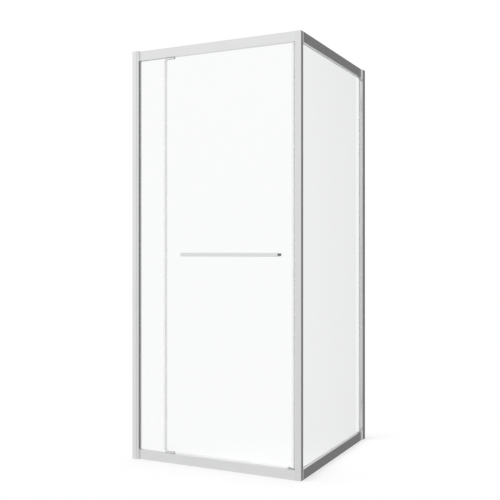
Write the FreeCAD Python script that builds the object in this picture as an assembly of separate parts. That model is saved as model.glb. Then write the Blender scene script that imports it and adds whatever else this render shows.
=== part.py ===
"""Corner shower enclosure: a framed front with an inline pivot door and a fixed return panel.

Frame: +Z up, z = 0 on the floor, origin at the middle of the bounding box's floor rectangle.
The front panel faces -Y and starts at the left wall; the return panel stands on the right
and runs back to the rear wall. All lengths are in millimetres.
"""
import FreeCAD, Part
import math
import os

Vector = FreeCAD.Vector
ALONG_X = Vector(1, 0, 0)
ALONG_Y = Vector(0, 1, 0)
ALONG_Z = Vector(0, 0, 1)

# Overall frame
WIDTH = 900.0  # left wall face to the outer face of the back wall channel
DEPTH = 900.0  # front face of the left wall channel to the back wall face
HEIGHT = 2000.0  # floor to the top of the header and the end caps

# Aluminium sections
WALL = 1.6  # wall of the hollow sections
EDGE_R = 0.8  # rounding of their outer edges
CHANNEL_REACH = 22.0  # wall channel, out from the wall
CHANNEL_FLANGE = 1.2
CHANNEL_WEB = 2.0
JAMB_BACK = 6.0  # room left between the wall and the back of the jamb
JAMB_REACH = 36.0  # wall face to the jamb's inner face
JAMB_SLIDE = 0.3  # clearance of the jamb in its channel, each side
JAMB_POCKET = 15.0  # depth of the jamb's glass pocket
JAMB_CELL = 12.3  # hollow in the jamb in front of its pocket, across the glass
RAIL_H = 46.0
RAIL_POCKET = 16.0  # depth of the rail's pocket
RAIL_CELL = 3.8  # hollow in a rail in front of its pocket, across the glass
RETURN_SETBACK = 4.5  # outer face of the back jamb to that of the return panel's rails
POST_REACH = 14.0  # middle of the panes to the post's front face and to its face beside the door
POST_REAR = 10.6  # middle of the front panes to the back of the post
POST_SETBACK = 1.5  # outer face of the return panel's rails to the post
POST_POCKET = 12.0
CAP_T = 2.0  # end caps on the jambs and the post
CAP_FIT = 0.3  # plug of a cap in its section, each side
CAP_KEY_GAP = 1.0  # plug of a cap to the key below it

# Holes for the wall screws
WALL_HOLE_D = 5.0
WALL_HOLE_END = 219.0  # floor to the lowest hole, and top of the channel to the highest
WALL_HOLES = 4

# Screws that lock the jambs, and their covers
SCREW_D = 3.9
SCREW_FIT = 0.1  # radial clearance of a screw in its hole
SCREW_HEAD_D = 7.0
SCREW_HEAD_H = 2.2
SCREW_HEAD_R = 0.8
SCREW_SOCKET = 2.5  # across the flats
SCREW_SOCKET_DEEP = 1.4
JAMB_SCREW_LEN = 9.0
JAMB_SCREW_REACH = 13.5  # wall face to the screw
JAMB_SCREW_END = 299.0  # floor or top of the channel to the nearest screw
JAMB_SCREWS = 3
COVER_WALL = 1.0
COVER_FIT = 0.3

# Keys that join the rails to the jambs and the post
KEY_LIFT = 6.0  # underside of the rail to the underside of the key
KEY_TOP_GAP = 4.4  # top of the key to the roof of the rail's chamber
KEY_LEG = 35.0  # how far a key reaches into a rail
KEY_FIT = 0.2
KEY_SCREW_INSET = 20.0  # end of the rail to the key screw
KEY_SCREW_LEN = 12.0

# Weep slots in the inner wall of the sills
WEEP_LEN = 24.0
WEEP_H = 4.0
WEEP_LIFT = 4.0
WEEP_INSET = 140.0  # end of the sill to the middle of the slot

# Glass and glazing
GLASS_T = 6.0
GLASS_ARRIS = 0.6  # ground chamfer on the glass edges
GLASS_EDGE_GAP = 3.0  # floor of a pocket to the edge of the glass
GASKET_T = 3.0  # from the glass to the pocket wall
GASKET_FIT = 0.05
GASKET_PROUD = 1.0  # how far a gasket stands out of its pocket
BLOCK_LEN = 40.0  # setting block under a fixed pane
BLOCK_INSET = 20.0  # end of the visible pane to its setting block
FIXED_SHOWN = 141.5  # fixed glass between the jamb and its free edge
DOOR_SIDE_GAP = 11.5  # fixed glass edge to door glass edge

# Pivots of the door
PIVOT_SETBACK = 13.5  # door edge to the pivot axis
PIN_D = 6.0
PIN_REACH = 13.0  # how far a pin goes into its housing
PIN_TIP = 0.8  # chamfer on the pin's tip
PIN_FIT = 0.05  # radial clearance of the pin in its bush
PIN_SEAT = 0.1  # radial clearance of the pin in its shoe
BUSH_WALL = 1.5
BUSH_FLANGE_T = 1.0
BUSH_RIM = 3.5  # how far the bush's flange is wider than its body
BUSH_FIT = 0.1
BUSH_SPARE = 1.0  # bush length beyond the pin's tip
HOUSING_LEN = 48.0
POCKET_FIT = 0.15  # what plugs into a rail's pocket, each side
CSK_D = 3.5
CSK_HEAD_D = 6.8
CSK_SOCKET = 2.0
CSK_SOCKET_DEEP = 1.2
CSK_REACH = 2.0  # tip of a countersunk screw past the floor of the rail's pocket
HOUSING_SCREW_INSET = 8.0  # end of the housing to its screw
BOTTOM_PLAY = 0.1  # bush flange to bottom shoe
TOP_PLAY = 0.8  # bush flange to top shoe, room to set the height of the door
SHOE_LEN = 49.6
SHOE_HEEL = 21.8  # pivot axis to the end of the shoe beside the fixed glass
SHOE_DEPTH = 16.0
SHOE_WEB = 2.5
SHOE_CORNER_R = 3.0
BOTTOM_SHOE_LIP = 4.0
TOP_SHOE_LIP = 4.0
LINER_T = 0.8
LINER_FIT = 0.05
GRUB_D = 2.5
GRUB_SOCKET = 1.3
GRUB_SOCKET_DEEP = 1.6
GRUB_SPACING = 16.0

# Infill strips in the rail pockets
INFILL_H = 10.0
INFILL_T = 1.5
INFILL_GAP = 0.3  # infill to its neighbours

# Strike side: seals, magnets and door stop
SEAL_WALL = 1.2
SEAL_FIT = 0.05
SEAL_END_GAP = 0.5
STRIKE_GRIP = 8.0  # how far the strike seal grips the glass
NOSE_DEPTH = 12.0  # both magnet seals, across the glass
NOSE_WALL = 0.9
DOOR_NOSE = 5.5  # door seal, out from the glass edge
POST_NOSE = 6.1  # post seal, out from the post
NOSE_GAP = 0.5  # door seal to post seal
SLOT_MOUTH = 3.0  # T-slot in the post
SLOT_INNER = 5.6
SLOT_DEEP = 2.2
TONGUE_FIT = 0.2
MAGNET_T = 3.0
MAGNET_DEPTH = 9.0
MAGNET_FIT = 0.15
STOP_LEN = 30.0
STOP_DEPTH = 17.0
STOP_GAP = 0.8  # stop to the glass above it
STOP_POST_GAP = 9.0  # stop to the post
STOP_UPSTAND_LEN = 13.0
STOP_OVERLAP = 2.0  # height of the upstand behind the door glass
STOP_GLASS_GAP = 0.5  # door glass to the upstand
STOP_SCREW_INSET = 9.0  # end of the stop to its screw

# Fixed panel edge seal and door bottom seal
EDGE_SEAL_GRIP = 9.0
EDGE_SEAL_FIN = 2.0
EDGE_SEAL_GAP = 1.3  # fin to the door glass
EDGE_SEAL_CLEAR = 2.0  # seal ends to the pivot shoes
SWEEP_GRIP = 5.0
SWEEP_FIN_T = 0.9
SWEEP_SPLAY = 2.0  # how far a fin leans out
SWEEP_GAP = 0.6  # fin to the sill
SWEEP_END_GAP = 1.5

# Handle
HANDLE_BAR_H = 18.0
HANDLE_BAR_T = 8.0
HANDLE_EDGE_R = 2.0
HANDLE_POST_D = 12.0
HANDLE_POST_INSET = 9.0  # end of the bar to the middle of its stand-off
HANDLE_REACH = 40.0  # outer glass face to the front of the bar
HANDLE_Z = 1004.0
HANDLE_SETBACK = 60.0  # strike edge of the door glass to the bar
HANDLE_PIVOT_GAP = 96.9  # pivot edge of the door glass to the bar
HANDLE_HOLE_D = 10.0  # hole in the glass
HANDLE_SCREW_D = 6.0
HANDLE_SCREW_PASS = 0.2  # radial clearance round the screw
HANDLE_THREAD = 5.0  # screw length inside the bar
HANDLE_HEAD_D = 10.0
HANDLE_HEAD_H = 4.0
HANDLE_SOCKET = 4.0
HANDLE_SOCKET_DEEP = 2.4
WASHER_D = 12.0
WASHER_T = 1.5
SLEEVE_FIT = 0.2  # radial clearance of the sleeve in the glass
BACK_CAP_WALL = 1.3
BACK_CAP_FIT = 0.4
BACK_CAP_EDGE_R = 1.0

OVERCUT = 1.0  # how far a cutting body runs past the face that it opens

# Half widths worked out from the driving dimensions
glass_half = GLASS_T / 2
pocket_half = glass_half + GASKET_T
plug_half = pocket_half - POCKET_FIT
pin_r = PIN_D / 2
bush_r = pin_r + PIN_FIT + BUSH_WALL

# Faces of the sections, measured from the middle of the glass
section_rear = pocket_half + WALL
jamb_front = section_rear + JAMB_CELL + WALL
rail_front = section_rear + RAIL_CELL + WALL
return_front = jamb_front - RETURN_SETBACK
post_outer = return_front - POST_SETBACK
channel_front = jamb_front + JAMB_SLIDE + CHANNEL_FLANGE
channel_rear = section_rear + JAMB_SLIDE + CHANNEL_FLANGE
key_front = rail_front - WALL - KEY_FIT
key_rear = pocket_half - KEY_FIT
handle_overhang = HANDLE_REACH + glass_half - channel_front

# Planes of the walls and the glass, and how far each section reaches across the glass
left_x = -WIDTH / 2
right_x = WIDTH / 2
front_y = (handle_overhang - DEPTH) / 2
back_y = front_y + DEPTH
glass_y = front_y + channel_front
glass_x = right_x - channel_front
channel_y = (glass_y - channel_front, glass_y + channel_rear)
jamb_y = (glass_y - jamb_front, glass_y + section_rear)
rail_y = (glass_y - rail_front, glass_y + section_rear)
return_y = (glass_y - return_front, glass_y + section_rear)
key_y = (glass_y - key_front, glass_y + key_rear)
top_z = HEIGHT - CAP_T
full_height = (0, top_z)

# Frame levels and ends
jamb_back_x = left_x + JAMB_BACK
jamb_face_x = left_x + JAMB_REACH
jamb_pocket_x = jamb_face_x - JAMB_POCKET
jamb_chamber = (jamb_back_x + WALL, jamb_pocket_x - WALL)
post_face_x = glass_x - POST_REACH
post_x = (post_face_x, glass_x + post_outer)
post_back_y = glass_y + POST_REAR
post_y = (glass_y - POST_REACH, post_back_y)
post_pocket_y = post_back_y - POST_POCKET
rail_floor_z = RAIL_H - RAIL_POCKET
header_z = HEIGHT - RAIL_H
key_z = (KEY_LIFT, rail_floor_z - WALL - KEY_TOP_GAP)
cap_plug = KEY_LIFT - CAP_T - CAP_KEY_GAP
front_rail = (jamb_face_x, post_face_x)

# Panes, door and handle
pane_z = (rail_floor_z + GLASS_EDGE_GAP, HEIGHT - rail_floor_z - GLASS_EDGE_GAP)
pane_edge_x = jamb_pocket_x + GLASS_EDGE_GAP
fixed_edge_x = jamb_face_x + FIXED_SHOWN
fixed_pane = (pane_edge_x, fixed_edge_x)
door_edge_x = fixed_edge_x + DOOR_SIDE_GAP
pivot_x = door_edge_x + PIVOT_SETBACK
strike_x = post_face_x - POST_NOSE - NOSE_GAP - DOOR_NOSE
shoe_x = (pivot_x - SHOE_HEEL, pivot_x - SHOE_HEEL + SHOE_LEN)
bottom_shoe_z = RAIL_H + BUSH_FLANGE_T + BOTTOM_PLAY
bottom_web_z = bottom_shoe_z + SHOE_WEB
bottom_lip_z = bottom_web_z + BOTTOM_SHOE_LIP
top_shoe_z = header_z - BUSH_FLANGE_T - TOP_PLAY
top_web_z = top_shoe_z - SHOE_WEB
top_lip_z = top_web_z - TOP_SHOE_LIP
door_z = (bottom_web_z + LINER_T, top_web_z - LINER_T)
stop_x = (post_face_x - STOP_POST_GAP - STOP_LEN, post_face_x - STOP_POST_GAP)
stop_top_z = door_z[0] - STOP_GAP
bar_x = (door_edge_x + HANDLE_PIVOT_GAP, strike_x - HANDLE_SETBACK)
bar_y = (glass_y - glass_half - HANDLE_REACH, glass_y - glass_half - HANDLE_REACH + HANDLE_BAR_T)
handle_post_x = (bar_x[0] + HANDLE_POST_INSET, bar_x[1] - HANDLE_POST_INSET)


# Ranges, plain solids and moves
def around(middle, half):
    """Range that reaches the same distance to both sides of a middle."""
    return (middle - half, middle + half)


def through(span):
    """Range lengthened at both ends, for a cut that runs right through."""
    return (span[0] - OVERCUT, span[1] + OVERCUT)


def narrowed(span, gap):
    """Range shortened by the same gap at both ends."""
    return (span[0] + gap, span[1] - gap)


def beside(side, near, far):
    """Range of y on one side of the front glass: -1 is outside, 1 is inside."""
    return tuple(sorted((glass_y + side * near, glass_y + side * far)))


def spread(end_gap, count):
    """Evenly spaced heights between two ends that are end_gap from the floor and the top."""
    step = (top_z - 2 * end_gap) / (count - 1)
    return [end_gap + step * i for i in range(count)]


def block(x, y, z):
    """Box from its three ranges."""
    return Part.makeBox(x[1] - x[0], y[1] - y[0], z[1] - z[0], Vector(x[0], y[0], z[0]))


def rod(radius, start, end):
    """Cylinder from one point to another."""
    return Part.makeCylinder(radius, (end - start).Length, start, end - start)


def prism(points, length):
    """Solid made by moving a closed outline of points along a vector."""
    return Part.Face(Part.makePolygon(points + points[:1])).extrude(length)


def hex_recess(flats, start, end):
    """Six-sided hole from one point to another, on a line that is square to X."""
    upright = ALONG_X.cross(end - start).normalize()
    corner = flats / math.sqrt(3)
    turns = [math.radians(60 * i) for i in range(6)]
    points = [start + ALONG_X * (corner * math.cos(t)) + upright * (corner * math.sin(t)) for t in turns]
    return prism(points, end - start)


def edges_along(shape, direction):
    """Edges of a plain block that run in one direction."""
    return [edge for edge in shape.Edges if abs(edge.tangentAt(edge.FirstParameter).dot(direction)) > 0.99]


def rounded(shape, direction, radius):
    """Plain block with its edges along one direction rounded."""
    return shape.makeFillet(radius, edges_along(shape, direction))


def outer_rim(shape, direction):
    """Circle of a plain cylinder that lies furthest in one direction."""
    circles = [edge for edge in shape.Edges if isinstance(edge.Curve, Part.Circle)]
    return max(circles, key=lambda edge: edge.CenterOfMass.dot(direction))


def to_side(shape):
    """The same piece on the return panel: the front panel mirrored about the corner."""
    turned = shape.mirror(Vector(0, 0, 0), Vector(1, 1, 0))
    turned.translate(Vector(right_x + front_y, back_y + left_x, 0))
    return turned


def from_side(y):
    """Place along the front panel that to_side moves to y on the return panel."""
    return left_x + back_y - y


def to_top(shape):
    """The same piece at the header: a piece at the sill mirrored about mid-height."""
    return shape.mirror(Vector(0, 0, HEIGHT / 2), ALONG_Z)


def save(name, *solids):
    """Write one sub-part, as one solid or as a group of separate solids."""
    shape = solids[0] if len(solids) == 1 else Part.makeCompound(solids)
    shape.exportStep(f"parts/{name}.step")


side_rail = (jamb_face_x, from_side(post_back_y))
side_pane = (pane_edge_x, from_side(post_pocket_y + GLASS_EDGE_GAP))


# Screws
def pan_screw(seat, length):
    """Pan-head screw on an inner face, its shank pointing to the outside."""
    head = rod(SCREW_HEAD_D / 2, seat, seat + ALONG_Y * SCREW_HEAD_H)
    head = head.makeFillet(SCREW_HEAD_R, [outer_rim(head, ALONG_Y)])
    shank = rod(SCREW_D / 2, seat, seat - ALONG_Y * length)
    crown = seat + ALONG_Y * SCREW_HEAD_H
    return head.fuse(shank).cut(hex_recess(SCREW_SOCKET, crown, crown - ALONG_Y * SCREW_SOCKET_DEEP))


def pan_screw_hole(seat, length):
    """Hole for the shank of a pan-head screw."""
    return rod(SCREW_D / 2 + SCREW_FIT, seat + ALONG_Y * OVERCUT, seat - ALONG_Y * (length + SCREW_FIT))


def csk_shape(top, tip_z, grow):
    """Countersunk head with its shank below, wider by grow."""
    head_h = (CSK_HEAD_D - CSK_D) / 2
    neck = top - ALONG_Z * head_h
    head = Part.makeCone(CSK_HEAD_D / 2 + grow, CSK_D / 2 + grow, head_h, top, -ALONG_Z)
    return head.fuse(rod(CSK_D / 2 + grow, neck, Vector(top.x, top.y, tip_z)))


def csk_screw(top):
    """Countersunk screw, flush at top, that ends below the floor of the sill's pocket."""
    recess = hex_recess(CSK_SOCKET, top, top - ALONG_Z * CSK_SOCKET_DEEP)
    return csk_shape(top, rail_floor_z - WALL - CSK_REACH, 0).cut(recess)


def csk_hole(top):
    """Hole for a countersunk screw."""
    return csk_shape(top, rail_floor_z - WALL - CSK_REACH, SCREW_FIT)


# Wall channels, jambs and their screws
jamb_screw_x = left_x + JAMB_SCREW_REACH
jamb_screw_z = spread(JAMB_SCREW_END, JAMB_SCREWS)
jamb_screw_seats = [Vector(jamb_screw_x, channel_y[1], z) for z in jamb_screw_z]


def wall_channel():
    """U-channel that is screwed to the wall and takes up the jamb."""
    span = (left_x, left_x + CHANNEL_REACH)
    body = rounded(block(span, channel_y, full_height), ALONG_Z, EDGE_R)
    inside = (left_x + CHANNEL_WEB, span[1] + OVERCUT)
    cuts = [block(inside, narrowed(channel_y, CHANNEL_FLANGE), through(full_height))]
    web = through((left_x, left_x + CHANNEL_WEB))
    for z in spread(WALL_HOLE_END, WALL_HOLES):
        cuts.append(rod(WALL_HOLE_D / 2, Vector(web[0], glass_y, z), Vector(web[1], glass_y, z)))
    cuts += [pan_screw_hole(seat, JAMB_SCREW_LEN) for seat in jamb_screw_seats]
    return body.cut(cuts)


def jamb_key_room():
    """Window through the jamb for the leg of a jamb key."""
    span = (jamb_chamber[1] - OVERCUT, jamb_face_x + OVERCUT)
    return block(span, narrowed(key_y, -KEY_FIT), narrowed(key_z, -KEY_FIT))


def jamb():
    """Hollow upright with a glass pocket, sliding in the wall channel."""
    body = rounded(block((jamb_back_x, jamb_face_x), jamb_y, full_height), ALONG_Z, EDGE_R)
    length = through(full_height)
    cuts = [block(jamb_chamber, narrowed(jamb_y, WALL), length)]
    cuts.append(block((jamb_pocket_x, jamb_face_x + OVERCUT), around(glass_y, pocket_half), length))
    cell = beside(-1, section_rear, jamb_front - WALL)
    cuts.append(block((jamb_pocket_x, jamb_face_x - WALL), cell, length))
    cuts += [jamb_key_room(), to_top(jamb_key_room())]
    cuts += [pan_screw_hole(seat, JAMB_SCREW_LEN) for seat in jamb_screw_seats]
    return body.cut(cuts)


def jamb_cap():
    """End cap over the jamb and its channel, with a plug in the jamb."""
    plate = rounded(block((left_x, jamb_face_x), channel_y, (top_z, HEIGHT)), ALONG_Z, EDGE_R)
    plug_y = narrowed(jamb_y, WALL + CAP_FIT)
    return plate.fuse(block(narrowed(jamb_chamber, CAP_FIT), plug_y, (top_z - cap_plug, top_z)))


def screw_cover(seat):
    """Snap-on cover over the head of a jamb screw."""
    room_r = SCREW_HEAD_D / 2 + COVER_FIT
    room_h = SCREW_HEAD_H + COVER_FIT
    cover = rod(room_r + COVER_WALL, seat, seat + ALONG_Y * (room_h + COVER_WALL))
    cover = cover.makeFillet(COVER_WALL, [outer_rim(cover, ALONG_Y)])
    return cover.cut(rod(room_r, seat - ALONG_Y * OVERCUT, seat + ALONG_Y * room_h))


# Corner post
def corner_key(room):
    """L-shaped key at the foot of the post, wider by room."""
    x = (glass_x - key_rear - room, glass_x + key_front + room)
    y = narrowed(key_y, -room)
    z = narrowed(key_z, -room)
    front_leg = block((post_face_x - KEY_LEG, x[1]), y, z)
    side_leg = block(x, (y[0], post_back_y + KEY_LEG), z)
    return front_leg.fuse(side_leg).removeSplitter()


def slot_boss(z):
    """Thick part of the post's wall that holds the T-slot of the magnet seal."""
    reach = (post_face_x, post_face_x + 2 * WALL + SLOT_DEEP)
    return block(reach, around(glass_y, SLOT_INNER / 2 + WALL), z)


def corner_post():
    """Hollow post with a pocket for the side glass and a T-slot for the seal."""
    body = block(post_x, post_y, full_height)
    body = rounded(body, ALONG_Z, EDGE_R)
    length = through(full_height)
    inner_x = narrowed(post_x, WALL)
    chamber = block(inner_x, (post_y[0] + WALL, post_pocket_y - WALL), length)
    cell_y = (post_pocket_y - WALL, post_back_y - WALL)
    left_cell = block((inner_x[0], glass_x - pocket_half - WALL), cell_y, length)
    right_cell = block((glass_x + pocket_half + WALL, inner_x[1]), cell_y, length)
    cuts = [chamber.fuse([left_cell, right_cell]).cut(slot_boss(through(length)))]
    cuts.append(block(around(glass_x, pocket_half), (post_pocket_y, post_back_y + OVERCUT), length))
    mouth = (post_face_x - OVERCUT, post_face_x + WALL)
    cuts.append(block(mouth, around(glass_y, SLOT_MOUTH / 2), length))
    cuts.append(block((mouth[1], mouth[1] + SLOT_DEEP), around(glass_y, SLOT_INNER / 2), length))
    cuts += [corner_key(KEY_FIT), to_top(corner_key(KEY_FIT))]
    return body.cut(cuts)


def post_cap():
    """End cap of the post, with a plug in its front chamber."""
    plate = block(post_x, post_y, (top_z, HEIGHT))
    plate = rounded(plate, ALONG_Z, EDGE_R)
    room = WALL + CAP_FIT
    plug_y = (post_y[0] + room, glass_y - SLOT_INNER / 2 - room)
    return plate.fuse(block(narrowed(post_x, room), plug_y, (top_z - cap_plug, top_z)))


# Header, sills and the keys inside them
def key_screw_seats(rail):
    """Points on a rail's inner face where its two key screws sit."""
    z = (key_z[0] + key_z[1]) / 2
    places = (rail[0] + KEY_SCREW_INSET, rail[1] - KEY_SCREW_INSET)
    return [Vector(x, rail_y[1], z) for x in places]


def plain_rail(rail, y):
    """Hollow rail y deep at sill height, with its pocket facing up and holes for the key screws."""
    body = rounded(block(rail, y, (0, RAIL_H)), ALONG_X, EDGE_R)
    length = through(rail)
    cuts = [block(length, narrowed(rail_y, WALL), (WALL, rail_floor_z - WALL))]
    cuts.append(block(length, around(glass_y, pocket_half), (rail_floor_z, RAIL_H + OVERCUT)))
    cell = beside(-1, section_rear, rail_front - WALL)
    cuts.append(block(length, cell, (rail_floor_z, RAIL_H - WALL)))
    cuts += [pan_screw_hole(seat, KEY_SCREW_LEN) for seat in key_screw_seats(rail)]
    return body.cut(cuts)


def return_rail():
    """Deeper rail of the return panel, with a second cell on its outer side."""
    cell = block(through(side_rail), (return_y[0] + WALL, rail_y[0]), (WALL, RAIL_H - WALL))
    return plain_rail(side_rail, return_y).cut(cell)


def weep_slots(rail):
    """Slots in the inner wall of a sill, which let water back into the shower."""
    wall = through((rail_y[1] - WALL, rail_y[1]))
    z = (WEEP_LIFT, WEEP_LIFT + WEEP_H)
    return [block(around(x, WEEP_LEN / 2), wall, z) for x in (rail[0] + WEEP_INSET, rail[1] - WEEP_INSET)]


def jamb_key():
    """Key between the jamb and a rail: its wide head is held inside the jamb."""
    head_x = narrowed(jamb_chamber, KEY_FIT)
    head = block(head_x, narrowed(jamb_y, WALL + KEY_FIT), key_z)
    leg = block((head_x[1], jamb_face_x + KEY_LEG), key_y, key_z)
    return head.fuse(leg).cut(pan_screw_hole(key_screw_seats(front_rail)[0], KEY_SCREW_LEN))


def drilled_corner_key():
    """Corner key with the holes for its two screws."""
    front_hole = pan_screw_hole(key_screw_seats(front_rail)[1], KEY_SCREW_LEN)
    side_hole = to_side(pan_screw_hole(key_screw_seats(side_rail)[1], KEY_SCREW_LEN))
    return corner_key(0).cut([front_hole, side_hole])


def infill(x):
    """Strip that closes a rail's pocket beside the door, flush with the rail."""
    strip = block(x, around(glass_y, plug_half), (RAIL_H - INFILL_H, RAIL_H))
    hollow_z = (RAIL_H - INFILL_H - OVERCUT, RAIL_H - INFILL_T)
    return strip.cut(block(through(x), around(glass_y, plug_half - INFILL_T), hollow_z))


# Fixed panes and their glazing
def pane(x, z):
    """Sheet of glass in the front plane with ground edges."""
    sheet = block(x, around(glass_y, glass_half), z)
    return sheet.makeChamfer(GLASS_ARRIS, sheet.Edges)


def gasket(side, x, opening_x):
    """Gasket on one face of a fixed pane, filling the pockets round an opening."""
    y = beside(side, glass_half, pocket_half - GASKET_FIT)
    opening_z = (RAIL_H + GASKET_PROUD, header_z - GASKET_PROUD)
    return block(x, y, pane_z).cut(block(opening_x, through(y), opening_z))


def fixed_gasket(side):
    """Gasket of the fixed front pane, open at the pane's free edge."""
    return gasket(side, fixed_pane, (jamb_face_x + GASKET_PROUD, fixed_edge_x + OVERCUT))


def side_gasket(side):
    """Gasket of the side pane, a closed frame."""
    return to_side(gasket(side, side_pane, (side_rail[0] + GASKET_PROUD, side_rail[1] - GASKET_PROUD)))


def setting_blocks(x):
    """Two blocks that carry a pane on the floor of the sill's pocket."""
    starts = (x[0] + BLOCK_INSET, x[1] - BLOCK_INSET - BLOCK_LEN)
    y = around(glass_y, plug_half)
    return [block((start, start + BLOCK_LEN), y, (rail_floor_z, pane_z[0])) for start in starts]


# Pivots
def on_axis(z):
    """Point on the door's pivot axis."""
    return Vector(pivot_x, glass_y, z)


housing_x = around(pivot_x, HOUSING_LEN / 2)
housing_screw_x = (housing_x[0] + HOUSING_SCREW_INSET, housing_x[1] - HOUSING_SCREW_INSET)
housing_screw_tops = [Vector(x, glass_y, RAIL_H) for x in housing_screw_x]


def pivot_housing():
    """Block in the sill's pocket that holds the bush."""
    body = block(housing_x, around(glass_y, plug_half), (rail_floor_z, RAIL_H))
    bush_hole = rod(bush_r + BUSH_FIT, on_axis(rail_floor_z - OVERCUT), on_axis(RAIL_H + OVERCUT))
    return body.cut([bush_hole] + [csk_hole(top) for top in housing_screw_tops])


def pivot_bush():
    """Flanged bush in which the pin turns."""
    foot_z = RAIL_H - PIN_REACH - BUSH_SPARE
    flange_z = RAIL_H + BUSH_FLANGE_T
    tube = rod(bush_r, on_axis(foot_z), on_axis(RAIL_H))
    flange = rod(bush_r + BUSH_RIM, on_axis(RAIL_H), on_axis(flange_z))
    bore = rod(pin_r + PIN_FIT, on_axis(foot_z - OVERCUT), on_axis(flange_z + OVERCUT))
    return tube.fuse(flange).cut(bore)


def pivot_pin(tip_z, web_z):
    """Pin from its tip in the bush to the inner face of the shoe's web."""
    pin = rod(pin_r, on_axis(tip_z), on_axis(web_z))
    return pin.makeChamfer(PIN_TIP, [outer_rim(pin, on_axis(tip_z) - on_axis(web_z))])


def grub_span(web_z, lip_z):
    """Start and end points of a shoe's grub screws, from the liner to the inner face."""
    z = (web_z + lip_z) / 2
    near = glass_y + glass_half + LINER_T + LINER_FIT
    far = glass_y + SHOE_DEPTH / 2
    return [(Vector(x, near, z), Vector(x, far, z)) for x in around(pivot_x, GRUB_SPACING / 2)]


def pivot_shoe(outer_z, web_z, lip_z):
    """Shoe that clamps a corner of the door glass and holds the pin in its web."""
    body = block(shoe_x, around(glass_y, SHOE_DEPTH / 2), sorted((outer_z, lip_z)))
    body = rounded(body, ALONG_Z, SHOE_CORNER_R)
    slot_x = (door_edge_x - LINER_T - LINER_FIT, shoe_x[1] + OVERCUT)
    past_lip_z = lip_z + math.copysign(OVERCUT, lip_z - web_z)
    slot = block(slot_x, around(glass_y, glass_half + LINER_T + LINER_FIT), sorted((web_z, past_lip_z)))
    cuts = [slot, rod(pin_r + PIN_SEAT, on_axis(outer_z + outer_z - web_z), on_axis(web_z))]
    for start, end in grub_span(web_z, lip_z):
        cuts.append(rod(GRUB_D / 2 + SCREW_FIT, start - ALONG_Y * LINER_FIT, end + ALONG_Y * OVERCUT))
    return body.cut(cuts)


def shoe_liner(web_z, lip_z):
    """Thin liner between the shoe and the glass."""
    x = (door_edge_x - LINER_T, shoe_x[1])
    body = block(x, around(glass_y, glass_half + LINER_T), sorted((web_z, lip_z)))
    inward = math.copysign(1, lip_z - web_z)
    glass_z = sorted((web_z + inward * LINER_T, lip_z + inward * OVERCUT))
    return body.cut(block((door_edge_x, x[1] + OVERCUT), around(glass_y, glass_half), glass_z))


def grub_screws(web_z, lip_z):
    """Socket screws that press the liner on to the glass."""
    screws = []
    for start, end in grub_span(web_z, lip_z):
        recess = hex_recess(GRUB_SOCKET, end, end - ALONG_Y * GRUB_SOCKET_DEEP)
        screws.append(rod(GRUB_D / 2, start, end).cut(recess))
    return screws


# Seals, magnets and door stop
def grip(edge_x, inward, length, z):
    """U-shaped grip of a seal on a vertical glass edge; inward points to the glass."""
    outer = glass_half + SEAL_FIT + SEAL_WALL
    base = edge_x - inward * SEAL_FIT
    end = edge_x + inward * length
    back = base - inward * SEAL_WALL
    legs = [block(sorted((base, end)), beside(side, glass_half + SEAL_FIT, outer), z) for side in (-1, 1)]
    return block(sorted((back, base)), around(glass_y, outer), z).fuse(legs)


def magnet(x_front, inward, z):
    """Magnet strip behind the front wall of a seal's nose."""
    start = x_front + inward * (NOSE_WALL + MAGNET_FIT)
    return block(sorted((start, start + inward * MAGNET_T)), around(glass_y, MAGNET_DEPTH / 2), z)


def magnet_room(x_front, inward, z):
    """Hollow in a seal's nose for its magnet strip."""
    start = x_front + inward * NOSE_WALL
    end = start + inward * (MAGNET_T + 2 * MAGNET_FIT)
    return block(sorted((start, end)), around(glass_y, MAGNET_DEPTH / 2 + MAGNET_FIT), through(z))


door_nose_x = strike_x + DOOR_NOSE
post_nose_x = post_face_x - POST_NOSE
post_seal_z = (RAIL_H + SEAL_END_GAP, header_z - SEAL_END_GAP)


def door_magnet_seal():
    """Seal on the strike edge of the door glass."""
    nose = block((strike_x + SEAL_FIT, door_nose_x), around(glass_y, NOSE_DEPTH / 2), door_z)
    return grip(strike_x, -1, STRIKE_GRIP, door_z).fuse(nose).cut(magnet_room(door_nose_x, -1, door_z))


def post_magnet_seal():
    """Seal that is clipped into the T-slot of the post."""
    nose = block((post_nose_x, post_face_x), around(glass_y, NOSE_DEPTH / 2), post_seal_z)
    tongue_end = post_face_x + WALL + SLOT_DEEP - TONGUE_FIT
    stem = block((post_face_x, tongue_end), around(glass_y, SLOT_MOUTH / 2 - TONGUE_FIT), post_seal_z)
    head_x = (post_face_x + WALL + TONGUE_FIT, tongue_end)
    head = block(head_x, around(glass_y, SLOT_INNER / 2 - TONGUE_FIT), post_seal_z)
    return nose.fuse([stem, head]).cut(magnet_room(post_nose_x, 1, post_seal_z))


def fixed_edge_seal():
    """Seal on the free edge of the fixed pane, with a fin towards the door."""
    z = (bottom_lip_z + EDGE_SEAL_CLEAR, top_lip_z - EDGE_SEAL_CLEAR)
    fin_x = (fixed_edge_x + SEAL_FIT, door_edge_x - EDGE_SEAL_GAP)
    fin = block(fin_x, around(glass_y, EDGE_SEAL_FIN / 2), z)
    return grip(fixed_edge_x, -1, EDGE_SEAL_GRIP, z).fuse(fin)


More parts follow.
